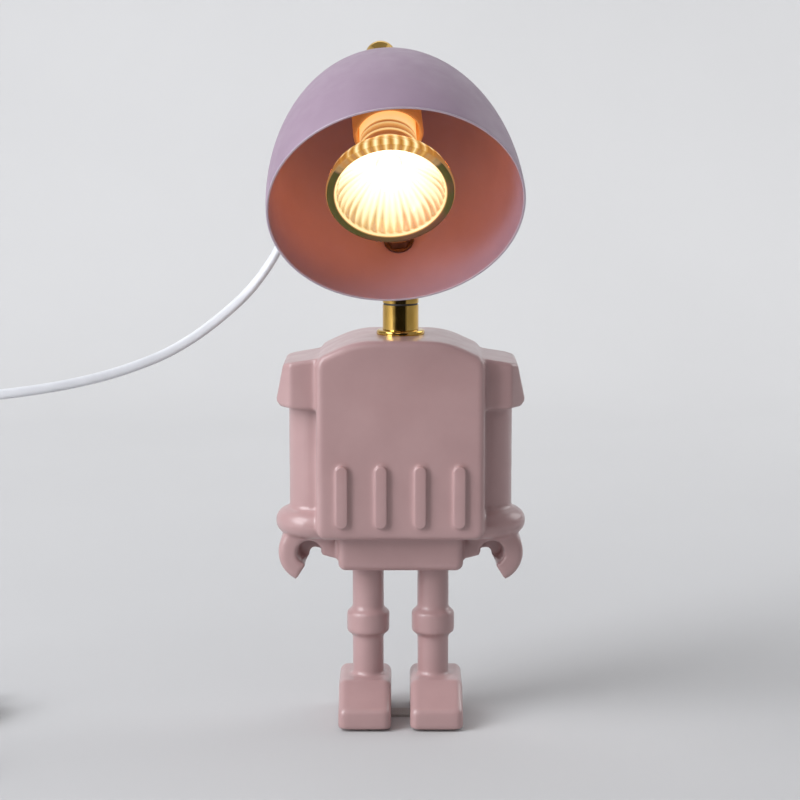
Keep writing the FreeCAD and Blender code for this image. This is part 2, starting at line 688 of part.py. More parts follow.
def coil_edges():
    total = coil_layers * layer_angle + (coil_layers - 1) * math.pi
    steps = round(total / (math.pi / 4))
    small = 0.01
    angles = [total * k / steps for k in range(steps + 1)]
    points = [coil_point(a) for a in angles]
    tangents = []
    for a in angles:
        ahead, back = coil_point(min(a + small, total)), coil_point(max(a - small, 0.0))
        tangents.append((ahead - back).normalize())
    tangents[0], tangents[-1] = V(0, -1, 0), V(0, 1, 0)
    edges = []
    for k in range(steps):
        edges += biarc(points[k], tangents[k], points[k + 1], tangents[k + 1])
    middle = [coil_point(total * k / 1200) for k in range(1201)]
    loop = 2 * math.pi * (coil_outer - coil_pitch * coil_turns_per_layer)
    step = sum((b - a).Length for a, b in zip(middle, middle[1:])) / 1200
    skip = int(0.6 * loop / step)
    gap = min((middle[i] - middle[j]).Length for i in range(0, 1201, 2) for j in range(i + skip, 1201, 2))
    print("cord_coil least gap to itself", round(gap - cord_diameter, 2))
    return edges


def cord():
    radius = cord_diameter / 2
    relief_end = head_frame.multVec(V(0, 0, crown_outlet_w) + outlet * (crown_fitting_radius + 0.8 + bushing_length))
    leave = head_frame.Rotation.multVec(outlet)
    join = V(*join_point)
    upper = [relief_end, relief_end + leave * 9.0] + [V(*p) for p in upper_route] + [join]
    keep("cord_upper", tube("cord_upper", route_edges("cord_upper", upper), radius))
    ahead = (join - V(*upper_route[-1])).normalize()
    lower = [join, join + ahead * 9.0] + [V(*p) for p in lower_route]
    lower.append(V(switch_x, switch_far - cord_held, cord_in_switch))
    keep("cord_lower", tube("cord_lower", route_edges("cord_lower", lower), radius))
    start, end = coil_point(0.0), coil_point(coil_layers * layer_angle + (coil_layers - 1) * math.pi)
    lead = route_edges("cord_lead", [
        V(switch_x, switch_near + cord_held, cord_in_switch), V(switch_x, switch_near - 8.0, cord_in_switch),
        V(switch_x, start.y + 9.0, start.z), start])
    tail = route_edges("cord_tail", [
        end, end + Y * 9.0, V(end.x, plug_relief_start - 11.0, plug_axis_z),
        V(end.x, plug_relief_start, plug_axis_z)])
    keep("cord_coil", tube("cord_coil", lead + coil_edges() + tail, radius))


# Switch on the cord, and the plug


def cord_switch():
    x, half = switch_x, switch_width / 2
    low, split, high = 0.0, switch_split, switch_height
    middle_y = (switch_far + switch_near) / 2
    whole = box(x - half, x + half, switch_near, switch_far, low, high)
    upright = edges_where(whole, lambda e: abs(e.tangentAt(e.FirstParameter).z) > 0.9)
    whole = whole.makeFillet(7.0, upright)
    rim = edges_where(whole, lambda e: e.CenterOfMass.z > high - 0.01 or e.CenterOfMass.z < 0.01)
    whole = whole.makeFillet(1.6, rim)
    room = box(x - half + switch_wall, x + half - switch_wall, switch_near + 4, switch_far - 4,
               low + switch_wall, high - switch_wall)
    room = room.makeFillet(5.0, edges_where(room, lambda e: abs(e.tangentAt(e.FirstParameter).z) > 0.9))
    entry = rod(cord_diameter / 2, V(x, switch_near - 1, cord_in_switch), V(x, switch_far + 1, cord_in_switch))
    shell = whole.cut(room).cut(entry)
    window = box(x - rocker_width / 2 - 0.3, x + rocker_width / 2 + 0.3, middle_y - rocker_length / 2 - 0.4,
                 middle_y + rocker_length / 2 + 0.4, split, high + 1)
    bearing = box(x - rocker_width / 2 - 2.3, x + rocker_width / 2 + 2.3, middle_y - 3, middle_y + 3,
                  rocker_pivot_z - 3, high - 1).cut(window)
    screw_places = [(x, switch_near + 8.0), (x, switch_far - 8.0)]
    posts_low, posts_high, screws = [], [], []
    for place in screw_places:
        side = V(6.5, 0, 0)
        at = V(place[0], place[1], 0) + side
        posts_low.append(cylinder(2.6, low + 1, split, at.x, at.y))
        posts_high.append(cylinder(2.6, split, high - 1, at.x, at.y))
        screws.append(cylinder(1.2, low + 2.0, high - 3.5, at.x, at.y).fuse(
            cylinder(2.2, low, low + 2.0, at.x, at.y)))
    body = shell.fuse(posts_low + posts_high + [bearing]).cut(window).cut(group(screws))
    axle = rod(rocker_axle_radius + 0.05, V(x - rocker_width / 2 - 1.6, middle_y, rocker_pivot_z),
               V(x + rocker_width / 2 + 1.6, middle_y, rocker_pivot_z))
    body = body.cut(axle)
    lower_half = box(x - 30, x + 30, switch_near - 5, switch_far + 5, -1, split)
    keep("switch_base", body.common(lower_half))
    keep("switch_cover", body.cut(lower_half))
    keep("switch_screws", group(screws))
    springs = []
    for y in (middle_y - 14, middle_y + 14):
        springs.append(box(x - 4, x - 2, y - 5, y + 5, switch_wall, switch_wall + 4.2))
    keep("switch_contacts", group(springs))
    rocker(middle_y)


def rocker(middle_y):
    """The rocker, pressed down at its near end, on its own two axle stubs."""
    half, z = rocker_length / 2, rocker_pivot_z
    lift = half * math.tan(math.radians(rocker_tilt))
    face = polygon([
        V(0, -half + 0.2, z + 2.6 + lift), V(0, 0, z + 2.6), V(0, half - 0.2, z + 2.6 + lift),
        V(0, half - 0.6, z + 0.4), V(0, 2.6, z - 2.2), V(0, -2.6, z - 2.2), V(0, -half + 0.6, z + 0.4),
    ])
    face.translate(V(switch_x - rocker_width / 2, 0, 0))
    key = face.extrude(V(rocker_width, 0, 0))
    axle = rod(rocker_axle_radius, V(switch_x - rocker_width / 2 - 1.5, 0, z),
               V(switch_x + rocker_width / 2 + 1.5, 0, z))
    key = key.fuse(axle)
    key.rotate(V(0, 0, z), X, rocker_tilt)
    key.translate(V(0, middle_y, 0))
    keep("switch_rocker", key)


def plug():
    x, z, y = coil_point(coil_layers * layer_angle + (coil_layers - 1) * math.pi).x, plug_axis_z, plug_relief_start
    relief_end = y + plug_relief_length
    relief = Part.makeCone(cord_diameter / 2 + 0.4, cord_diameter / 2 + 2.4, plug_relief_length, V(x, y, z), Y)
    keep("plug_relief", relief)
    half, thick = plug_width / 2, plug_thickness / 2
    end = relief_end + plug_length
    plan = polygon([
        V(x - 7, relief_end, z - thick), V(x + 7, relief_end, z - thick),
        V(x + half - 3, relief_end + 13, z - thick), V(x + half, end - 6, z - thick),
        V(x + half - 4, end, z - thick), V(x - half + 4, end, z - thick),
        V(x - half, end - 6, z - thick), V(x - half + 3, relief_end + 13, z - thick),
    ])
    body = plan.extrude(V(0, 0, plug_thickness))
    body = body.makeFillet(2.6, edges_where(
        body, lambda e: e.CenterOfMass.y < end - 1 and e.CenterOfMass.y > relief_end + 0.1))
    pins = []
    for side in (-1, 1):
        px = x + side * plug_pin_spacing / 2
        pin = rod(plug_pin_radius, V(px, end - 6, z), V(px, end + plug_pin_length - 2, z))
        pins.append(pin.fuse(Part.makeSphere(plug_pin_radius, V(px, end + plug_pin_length - 2, z))))
    body = body.cut(group(pins))
    keep("plug_body", body)
    keep("plug_pins", group(pins))


keep("ceramic_body", ceramic_body())
keep("foot_pads", foot_pads())
fixed_neck()
upper_neck()
tilt_pivot()
shade()
shade_stud()
bulb()
lampholder()
crown()
cord()
cord_switch()
plug()

os.makedirs("parts", exist_ok=True)
for name, shape in parts.items():
    shape.exportStep(f"parts/{name}.step")
rim_middle = head_frame.multVec(ORIGIN)
print("rim middle", [round(c, 2) for c in rim_middle], "crown way",
      [round(c, 4) for c in head_frame.Rotation.multVec(Z)])
print(len(parts), "pieces,", "invalid:", [n for n, s in parts.items() if not s.isValid()])
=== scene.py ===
# %% [markdown]
# # A robot desk lamp, dressed in Blender
#
# The lamp is a ceramic toy robot whose head is a mauve metal shade with a lit reflector bulb. Its construction comes
# from CAD as a fixed frame, in metres. Here each surface gets its finish, and the pieces that a camera sees close up
# are modelled again with more detail, at the same place and size.

# %% Load the frame
import json
import math

import bmesh
import bpy
from mathutils import Matrix, Vector


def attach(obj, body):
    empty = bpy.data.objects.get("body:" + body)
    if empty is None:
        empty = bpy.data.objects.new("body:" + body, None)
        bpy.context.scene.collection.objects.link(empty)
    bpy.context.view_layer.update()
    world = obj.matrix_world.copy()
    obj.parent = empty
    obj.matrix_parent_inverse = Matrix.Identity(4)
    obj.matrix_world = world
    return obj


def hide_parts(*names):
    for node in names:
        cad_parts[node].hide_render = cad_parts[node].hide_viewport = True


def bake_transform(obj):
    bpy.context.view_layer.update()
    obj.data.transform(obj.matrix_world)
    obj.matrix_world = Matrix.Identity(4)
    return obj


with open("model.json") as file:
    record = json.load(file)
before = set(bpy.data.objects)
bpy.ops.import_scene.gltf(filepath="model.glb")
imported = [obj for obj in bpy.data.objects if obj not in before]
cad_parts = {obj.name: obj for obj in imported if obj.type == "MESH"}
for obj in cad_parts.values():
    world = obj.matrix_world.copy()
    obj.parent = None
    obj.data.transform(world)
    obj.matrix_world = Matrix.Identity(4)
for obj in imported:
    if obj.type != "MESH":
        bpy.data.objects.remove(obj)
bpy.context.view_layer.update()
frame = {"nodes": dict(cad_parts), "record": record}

bpy.ops.object.select_all(action="DESELECT")
MM = 0.001
print("nodes", len(frame["nodes"]))

# %% [markdown]
# ## The camera
#
# The photograph was taken a little above the lamp's head, looking down by less than nine degrees, with a long lens.
# The picture is square, so one focal length serves both ways.

# %% Camera
picture_px = 800
focal_px = 2250.0
camera_down = math.radians(8.6)
camera_height = 0.276
camera_distance = 0.930  # along the table from the neck
middle_px = 400.6  # the column of the picture that the neck stands on

lens = bpy.data.cameras.new("camera")
lens.sensor_fit = "HORIZONTAL"
lens.sensor_width = 36.0
lens.lens = focal_px / picture_px * lens.sensor_width
lens.shift_x = (picture_px / 2 - middle_px) / picture_px
camera = bpy.data.objects.new("camera", lens)
bpy.context.scene.collection.objects.link(camera)
camera.location = (0, -camera_distance, camera_height)
camera.rotation_euler = (math.pi / 2 - camera_down, 0, 0)
bpy.context.scene.camera = camera
bpy.context.scene.view_settings.view_transform = "Standard"
print("camera lens", round(lens.lens, 2), "mm")

# %% [markdown]
# ## Small helpers
#
# Every finished piece keeps its place in its mesh, so its object stands at the origin like the CAD nodes do. The
# helper `settle` does that, names the piece, lets it ride on its body and hides the CAD nodes that it stands for.

# %% Helpers for pieces


def only(obj):
    """Selects one object and makes it the active one."""
    bpy.ops.object.select_all(action="DESELECT")
    obj.select_set(True)
    bpy.context.view_layer.objects.active = obj
    return obj


def finish_piece(obj, name, nodes, slot, material, smooth_deg=None):
    """Applies the place, names the piece, gives it its finish and hides the CAD nodes that it stands for."""
    only(obj)
    bpy.ops.object.transform_apply(location=True, rotation=True, scale=True)
    obj.name = name
    obj.data.name = name
    obj.data.materials.clear()
    obj.data.materials.append(material)
    if smooth_deg is not None:
        bpy.ops.object.shade_smooth_by_angle(angle=math.radians(smooth_deg))
    if nodes:
        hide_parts(*nodes)
    print(name, len(obj.data.polygons), "faces")
    return obj


def settle(obj, name, body, nodes, slot, material, smooth_deg=None):
    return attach(finish_piece(obj, name, nodes, slot, material, smooth_deg), body)


def select_points(obj, wanted):
    """Goes to edit mode with just those points selected whose place passes the test."""
    only(obj)
    bpy.ops.object.mode_set(mode="EDIT")
    bpy.ops.mesh.select_mode(type="VERT")
    bpy.ops.mesh.select_all(action="DESELECT")
    bpy.ops.object.mode_set(mode="OBJECT")
    for vertex in obj.data.vertices:
        vertex.select = wanted(vertex.co)
    bpy.ops.object.mode_set(mode="EDIT")


def apply_modifier(obj, kind, **values):
    only(obj)
    modifier = obj.modifiers.new(kind.lower(), kind)
    for key, value in values.items():
        setattr(modifier, key, value)
    bpy.ops.object.modifier_apply(modifier=modifier.name)


print("helpers", [helper.__name__ for helper in (only, finish_piece, settle, select_points, apply_modifier)])

# %% [markdown]
# ## Finishes
#
# Each finish is a Principled shader with a little noise in its colour, its roughness and its bump, at the scale that
# the real surface shows. Object coordinates are metres, so a noise scale of 1000 has one wave about every millimetre.
# The shade's paint turns paler where the value "rim" on its points is 1: a painted highlight along the rim's edge,
# where it catches the light.

# %% Material helpers


def new_material(name):
    material = bpy.data.materials.new(name)
    material.use_nodes = True
    tree = material.node_tree
    shader = tree.nodes["Principled BSDF"]
    place = tree.nodes.new("ShaderNodeTexCoord")
    return material, tree, shader, place


def noise(tree, place, scale, detail=3.0):
    node = tree.nodes.new("ShaderNodeTexNoise")
    node.inputs["Scale"].default_value = scale
    node.inputs["Detail"].default_value = detail
    tree.links.new(place.outputs["Object"], node.inputs["Vector"])
    return node


def ramp(tree, source, stops):
    node = tree.nodes.new("ShaderNodeValToRGB")
    while len(node.color_ramp.elements) < len(stops):
        node.color_ramp.elements.new(0.5)
    for element, (position, colour) in zip(node.color_ramp.elements, stops):
        element.position = position
        element.color = (*colour, 1.0)
    tree.links.new(source, node.inputs["Fac"])
    return node


def spread(tree, source, low, high):
    """Maps a noise from its usual 0.3 to 0.7 onto low to high."""
    node = tree.nodes.new("ShaderNodeMapRange")
    node.inputs["From Min"].default_value = 0.3
    node.inputs["From Max"].default_value = 0.7
    node.inputs["To Min"].default_value = low
    node.inputs["To Max"].default_value = high
    tree.links.new(source, node.inputs["Value"])
    return node


def bump(tree, shader, source, strength, distance, below=None):
    node = tree.nodes.new("ShaderNodeBump")
    node.inputs["Strength"].default_value = strength
    node.inputs["Distance"].default_value = distance
    tree.links.new(source, node.inputs["Height"])
    if below is not None:
        tree.links.new(below.outputs["Normal"], node.inputs["Normal"])
    tree.links.new(node.outputs["Normal"], shader.inputs["Normal"])
    return node


def grained(name, dark, light, cloud_scale, rough_low, rough_high, grain_scale, grain_strength, metallic=0.0):
    """A finish with a clouded colour, an uneven roughness and a fine grain in its bump."""
    material, tree, shader, place = new_material(name)
    tone = ramp(tree, noise(tree, place, cloud_scale, 4).outputs["Fac"], [(0.3, dark), (0.7, light)])
    tree.links.new(tone.outputs["Color"], shader.inputs["Base Color"])
    rough = spread(tree, noise(tree, place, 3 * cloud_scale).outputs["Fac"], rough_low, rough_high)
    tree.links.new(rough.outputs["Result"], shader.inputs["Roughness"])
    shader.inputs["Metallic"].default_value = metallic
    grain = bump(tree, shader, noise(tree, place, grain_scale, 2).outputs["Fac"], grain_strength, 0.1 / grain_scale)
    return material, tree, shader, place, grain


print("helpers", [helper.__name__ for helper in (new_material, noise, ramp, spread, bump, grained)])

# %% Finishes of the lamp
glaze, tree, shader, place, grain = grained(
    "glaze", (0.405, 0.250, 0.248), (0.455, 0.288, 0.286), 40, 0.34, 0.46, 900, 0.12)
shader.inputs["Coat Weight"].default_value = 0.45
shader.inputs["Coat Roughness"].default_value = 0.14
bump(tree, shader, noise(tree, place, 90, 2).outputs["Fac"], 0.14, 0.0004, grain)

paint, tree, shader = grained(
    "mauve_paint", (0.300, 0.214, 0.286), (0.330, 0.238, 0.316), 60, 0.42, 0.55, 1400, 0.14)[:3]
# painted highlight: the paint turns paler where the "rim" value is 1, along the rim's edge
rim = tree.nodes.new("ShaderNodeAttribute")
rim.attribute_name = "rim"
rim_painted_highlight = tree.nodes.new("ShaderNodeMix")
rim_painted_highlight.data_type = "RGBA"
tree.links.new(rim.outputs["Fac"], rim_painted_highlight.inputs["Factor"])
tree.links.new(shader.inputs["Base Color"].links[0].from_socket, rim_painted_highlight.inputs["A"])
rim_painted_highlight.inputs["B"].default_value = (0.52, 0.42, 0.49, 1)
tree.links.new(rim_painted_highlight.outputs["Result"], shader.inputs["Base Color"])

brass = grained("brass", (0.63, 0.38, 0.085), (0.71, 0.45, 0.12), 130, 0.05, 0.11, 2200, 0.05, 1.0)[0]
dark_brass = grained("dark_brass", (0.10, 0.065, 0.045), (0.16, 0.10, 0.065), 300, 0.35, 0.5, 2200, 0.10, 0.8)[0]
steel = grained("steel", (0.50, 0.50, 0.52), (0.62, 0.62, 0.64), 200, 0.25, 0.40, 3000, 0.10, 1.0)[0]
felt = grained("felt", (0.42, 0.40, 0.38), (0.50, 0.48, 0.46), 1500, 0.9, 1.0, 3500, 0.5)[0]
cord_pvc = grained("cord_pvc", (0.66, 0.67, 0.70), (0.72, 0.73, 0.76), 80, 0.32, 0.45, 2600, 0.10)[0]
shell_plastic = grained("shell_plastic", (0.77, 0.77, 0.75), (0.82, 0.82, 0.80), 80, 0.25, 0.38, 2600, 0.12)[0]
nylon = grained("nylon", (0.030, 0.027, 0.024), (0.045, 0.040, 0.035), 120, 0.4, 0.55, 2000, 0.12)[0]
print("finishes", [m.name for m in bpy.data.materials])

# %% [markdown]
# ## The cord
#
# A twin PVC cord comes out of the crown fitting behind the shade, drops and runs out of the picture on the left,
# comes down to the table, passes a rocker switch and ends in a neat coil with its plug. It is stiff enough to stand
# in one soft curve. The section is two round wires side by side, so it looks thin from one side and broad from the
# other. Each stretch follows a smooth curve through its own route, and is made a mesh.

# %% Routes of the cord, in metres
cord_width, cord_thickness = 0.0043, 0.0030
upper_route = [
    (-0.0270, 0.0130, 0.2580), (-0.0335, 0.0165, 0.2527), (-0.0395, 0.0215, 0.2425), (-0.0430, 0.0256, 0.2265),
    (-0.0465, 0.0255, 0.2085), (-0.0540, 0.0215, 0.1915), (-0.0695, 0.0180, 0.1725), (-0.0865, 0.0150, 0.1605),
]
lower_route = [
    (-0.0865, 0.0150, 0.1605), (-0.0930, 0.0138, 0.1563), (-0.1035, 0.0115, 0.1512), (-0.1200, 0.0085, 0.1455),
    (-0.1360, 0.0055, 0.1418), (-0.1515, 0.0030, 0.1393), (-0.1680, 0.0010, 0.1374), (-0.1870, 0.0010, 0.1356),
    (-0.2075, 0.0035, 0.1300), (-0.2250, 0.0075, 0.1190), (-0.2375, 0.0120, 0.1025), (-0.2460, 0.0165, 0.0830),
    (-0.2505, 0.0210, 0.0625), (-0.2520, 0.0240, 0.0430), (-0.2520, 0.0240, 0.0226), (-0.2520, 0.0176, 0.0114),
    (-0.2520, 0.0064, 0.0050), (-0.2520, -0.0120, 0.0050),
]
coil_middle = (-0.222, -0.096)
coil_outer = 0.030
coil_pitch = 0.0051
coil_low = 0.0023
coil_layers = 4
turns_per_layer = 2
points_per_turn = 16


def coil_point(angle):
    """Layers that spiral in and out again, each climbed to in half a turn."""
    layer_angle = 2 * math.pi * turns_per_layer
    layer = min(int(angle // (layer_angle + math.pi)), coil_layers - 1)
    along = angle - layer * (layer_angle + math.pi)
    share = min(along / layer_angle, 1.0)
    depth = share if layer % 2 == 0 else 1 - share
    radius = coil_outer - coil_pitch * turns_per_layer * depth
    climb = max(0.0, (along - layer_angle) / math.pi)
    height = coil_low + coil_pitch * (layer + (1 - math.cos(math.pi * climb)) / 2)
    turn = math.pi + angle
    return (coil_middle[0] + radius * math.cos(turn), coil_middle[1] + radius * math.sin(turn), height)


coil_angle = 2 * math.pi * turns_per_layer * coil_layers + math.pi * (coil_layers - 1)
coil_steps = round(coil_angle / (2 * math.pi) * points_per_turn)
coil_route = [(-0.252, -0.058, 0.005), (-0.252, -0.072, 0.005), (-0.252, -0.087, 0.0022)]
coil_route += [coil_point(coil_angle * k / coil_steps) for k in range(coil_steps + 1)]
coil_route += [(-0.192, -0.087, 0.0168), (-0.192, -0.065, 0.0070), (-0.192, -0.054, 0.0070)]
print("route points", len(upper_route), len(lower_route), len(coil_route))

# %% Curves and tubes of the cord


def smooth_line(name, route, steps):
    """The points of a NURBS curve through the route, as Blender itself works them out."""
    curve = bpy.data.curves.new(name, "CURVE")
    curve.dimensions = "3D"
    spline = curve.splines.new("NURBS")
    spline.points.add(len(route) - 1)
    for point, place in zip(spline.points, route):
        point.co = (*place, 1.0)
    spline.order_u = 3
    spline.use_endpoint_u = True
    spline.resolution_u = steps
    holder = bpy.data.objects.new(name, curve)
    bpy.context.scene.collection.objects.link(holder)
    bpy.context.view_layer.update()
    mesh = bpy.data.meshes.new_from_object(holder)
    line = [v.co.copy() for v in mesh.vertices]
    bpy.data.objects.remove(holder)
    bpy.data.meshes.remove(mesh)
    length = sum((b - a).length for a, b in zip(line, line[1:]))
    print(name, "length", round(length, 4), "points", len(line))
    return line, length


def twin_section(count=20):
    """Outline of the twin cord: two round wires side by side, joined by a web."""
    wire = cord_thickness / 2
    apart = cord_width / 2 - wire
    waist_depth, waist_spread = 0.2, 0.8  # how far the web dips between the wires, and how wide
    outline = []
    for k in range(count):
        angle = 2 * math.pi * (k + 0.5) / count
        across, up = math.cos(angle), math.sin(angle)
        x = wire * across + math.copysign(apart, across)
        waist = 1 - waist_depth * math.exp(-((x / (waist_spread * apart)) ** 2))
        outline.append((x, wire * up * waist))
    return outline


def tube_along(name, line, broad_start, broad_end):
    """A closed tube with the twin section, whose broad side turns evenly from one direction to another."""
    section = twin_section()
    tube = bmesh.new()
    rings = []
    for k, here in enumerate(line):
        ahead = (line[min(k + 1, len(line) - 1)] - line[max(k - 1, 0)]).normalized()
        share = k / (len(line) - 1)
        broad = (broad_start.lerp(broad_end, share)).normalized()
        broad = (broad - ahead * broad.dot(ahead)).normalized()
        thin = ahead.cross(broad)
        rings.append([tube.verts.new(here + broad * x + thin * y) for x, y in section])
    for ring, following in zip(rings, rings[1:]):
        for k in range(len(ring)):
            j = (k + 1) % len(ring)
            tube.faces.new((ring[k], ring[j], following[j], following[k]))
    tube.faces.new(rings[0][::-1])
    tube.faces.new(rings[-1])
    bmesh.ops.recalc_face_normals(tube, faces=tube.faces)
    mesh = bpy.data.meshes.new(name)
    tube.to_mesh(mesh)
    tube.free()
    obj = bpy.data.objects.new(name, mesh)
    bpy.context.scene.collection.objects.link(obj)
    return obj


free_steps, wound_steps = 10, 5  # points of the smooth line to each point of the route
upper_line, upper_length = smooth_line("cord_upper_line", upper_route, free_steps)
lower_line, lower_length = smooth_line("cord_lower_line", lower_route, free_steps)
coil_line, coil_length = smooth_line("coil_line", coil_route, wound_steps)

broad_at_crown, broad_at_meeting = Vector((0.0, 1.0, 0.2)), Vector((0.2, 0.25, 1.0))
broad_at_switch, broad_in_coil = Vector((1.0, 0.0, 0.1)), Vector((0.0, 0.0, 1.0))
cord_top = tube_along("cord_top", upper_line, broad_at_crown, broad_at_meeting)
finish_piece(cord_top, "cord_top", ["cord_upper"], "white_plastic", cord_pvc, 60)
cord_run = tube_along("cord_run", lower_line, broad_at_meeting, broad_at_switch)
finish_piece(cord_run, "cord_run", ["cord_lower"], "white_plastic", cord_pvc, 60)
cord_wound = tube_along("cord_wound", coil_line, broad_in_coil, broad_in_coil)
settle(cord_wound, "cord_wound", "figure", ["cord_coil"], "white_plastic", cord_pvc, 60)

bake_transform(cord_top)
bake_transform(cord_run)

# %% [markdown]
# ## The ceramic figure
#
# The body is one hollow casting of glazed ceramic. Slip and glaze round every edge and fill every inner corner, so
# nothing on it is sharp. A voxel remesh of the CAD shape gives an even skin, and a smoothing pass then softens all
# edges and corners alike, which a bevel could not do where so many forms run together. A very faint swell of the
# surface keeps the flats from looking machined.

# %% The figure's skin


def carried_copy(node):
    """A copy of a CAD node's mesh with its loose triangles merged."""
    source = frame["nodes"][node]
    copy = bpy.data.objects.new(node + "_copy", source.data.copy())
    bpy.context.scene.collection.objects.link(copy)
    only(copy)
    bpy.ops.object.mode_set(mode="EDIT")
    bpy.ops.mesh.select_all(action="SELECT")
    bpy.ops.mesh.remove_doubles(threshold=0.000002)
    bpy.ops.object.mode_set(mode="OBJECT")
    return copy


skin_voxel = 0.00088
figure = carried_copy("ceramic_body")
apply_modifier(figure, "REMESH", mode="VOXEL", voxel_size=skin_voxel)
apply_modifier(figure, "SMOOTH", factor=0.5, iterations=2)
swell = bpy.data.textures.new("swell", "CLOUDS")
swell.noise_scale = 0.022  # about the width of one swell
apply_modifier(figure, "DISPLACE", texture=swell, texture_coords="LOCAL", strength=0.0003, mid_level=0.5)
settle(figure, "ceramic_figure", "figure", ["ceramic_body"], "glaze", glaze)
only(figure)
bpy.ops.object.shade_smooth()

# %% [markdown]
# ## Ribs on the chest
#
# Four raised bars stand on the lower half of the torso. They have a flat front and small rounded edges, which the
# remesh would blur. So each is modelled again as a half-rounded outline that is extruded and bevelled, and it covers
# the soft rib of the skin. The skin's own soft foot round it stays as the glaze's fillet.

# %% The ribs
rib_half, rib_low, rib_high = 2.65, 85.9, 112.1  # half of the width and the two ends, in millimetres
rib_back, rib_front, rib_pitch = -25.0, -28.05, 16.1
rib_count, rib_corners = 4, 30
rib_bars = []
for k in range(rib_count):
    rib_x = (k - (rib_count - 1) / 2) * rib_pitch
    rib_place = (rib_x * MM, rib_back * MM, (rib_low + rib_half) * MM)
    bpy.ops.mesh.primitive_circle_add(vertices=rib_corners, radius=rib_half * MM, fill_type="NGON",
                                      rotation=(math.pi / 2, 0, 0), location=rib_place)
    bar = bpy.context.object
    bpy.ops.object.transform_apply(location=True, rotation=True)
    select_points(bar, lambda place: place.z > (rib_low + rib_half) * MM)
    bpy.ops.transform.translate(value=(0, 0, (rib_high - rib_low - 2 * rib_half) * MM))
    bpy.ops.mesh.select_all(action="SELECT")
    bpy.ops.mesh.extrude_region_move(TRANSFORM_OT_translate={"value": (0, (rib_front - rib_back) * MM, 0)})
    bpy.ops.mesh.select_all(action="SELECT")
    bpy.ops.mesh.normals_make_consistent(inside=False)
    bpy.ops.object.mode_set(mode="OBJECT")
    apply_modifier(bar, "BEVEL", width=0.0008, segments=4, limit_method="ANGLE", angle_limit=math.radians(50))
    rib_bars.append(bar)
bpy.ops.object.select_all(action="DESELECT")
for bar in rib_bars:
    bar.select_set(True)
bpy.context.view_layer.objects.active = rib_bars[0]
bpy.ops.object.join()
settle(rib_bars[0], "chest_ribs", "figure", [], "glaze", glaze, 40)

# %% [markdown]
# ## Pieces that keep their CAD shape
#
# Turned brass, steel and moulded plastic already have their right shape in the frame. A merged copy gets smooth
# shading up to a sharp edge, so that polished metal reflects in unbroken bands.

# %% Metal and plastic pieces
kept_shapes = [
    (brass, "figure", ["neck_flange", "neck_lower_collar", "neck_nipple", "neck_bush", "switch_contacts"]),
    (brass, "neck", ["neck_fork", "tilt_screw", "tilt_nut"]),
    (brass, "head", ["shade_stud", "crown_fitting", "lampholder_contacts"]),
    (dark_brass, "head", ["stud_nut", "stud_washer"]),
    (steel, "figure", ["swivel_screw", "switch_screws", "plug_pins"]),
    (steel, "neck", ["tilt_washer"]),
    (steel, "head", ["bulb_pins", "lampholder_screws", "holder_bracket", "crown_nipple", "crown_lock_nut"]),
    (nylon, "neck", ["seam_washer"]),
    (shell_plastic, "figure", ["switch_base", "switch_cover", "plug_body", "plug_relief"]),
    (cord_pvc, "head", ["cord_bushing"]),
    (shell_plastic, "rocker", ["switch_rocker"]),
    (felt, "figure", ["foot_pads"]),
]
slot_of = {part["node"]: part["material_slot"] for part in frame["record"]["subparts"]}
smooth_up_to = 32  # degrees
for material, body, nodes in kept_shapes:
    for node in nodes:
        piece = carried_copy(node)
        settle(piece, "fine_" + node, body, [node], slot_of[node], material, smooth_up_to)

# %% [markdown]
# ## The head's own frame
#
# Shade, bulb and lampholder share one axis, so they are modelled upright over the origin, with the rim of the shade
# at the height zero and the crown above it. Then they go to their place: the shade leans back, stands rolled a few
# degrees on its stud, and looks a little to one side, which is how the lamp stood in the photograph.

# %% Place of the head
pivot = Vector((0, 0, 0.1934))
shade_radius, shade_depth, shade_wall = 0.050, 0.073, 0.001
crown_swell = 0.0024  # the spun crown stands a little fuller than the frame's plain ellipsoid
stud_along = 0.030  # height over the rim at which the stud goes through the wall
stud_reach = 0.0171
mouth_below_level = 38.9  # degrees by which the mouth of the shade looks down
lean_back, roll, turn = math.radians(mouth_below_level - 90), math.radians(-6.7), math.radians(-3)

stud_radius = shade_radius * math.sqrt(1 - (stud_along / shade_depth) ** 2)
stud_way = Vector((0, stud_radius / shade_radius**2, stud_along / shade_depth**2)).normalized()
leaning = Matrix.Rotation(lean_back, 4, "X")
rim_middle = pivot - leaning @ (stud_way * stud_reach) - leaning @ Vector((0, stud_radius, stud_along))
rolled = Matrix.Translation(pivot) @ Matrix.Rotation(roll, 4, leaning @ stud_way) @ Matrix.Translation(-pivot)
head_frame = Matrix.Rotation(turn, 4, "Z") @ rolled @ Matrix.Translation(rim_middle) @ leaning
print("middle of the rim", [round(c, 4) for c in head_frame.translation])


def to_head(obj):
    """Moves a piece that was modelled upright over the origin to the head's place."""
    obj.matrix_world = head_frame @ obj.matrix_world
    return obj


# %% [markdown]
# ## The shade
#
# The shade is a spun bowl of thin steel, half an ellipsoid, painted inside and out. A sphere is stretched, cut at its
# equator and given its wall inwards, and the rim gets the small rounded edge that spinning leaves.

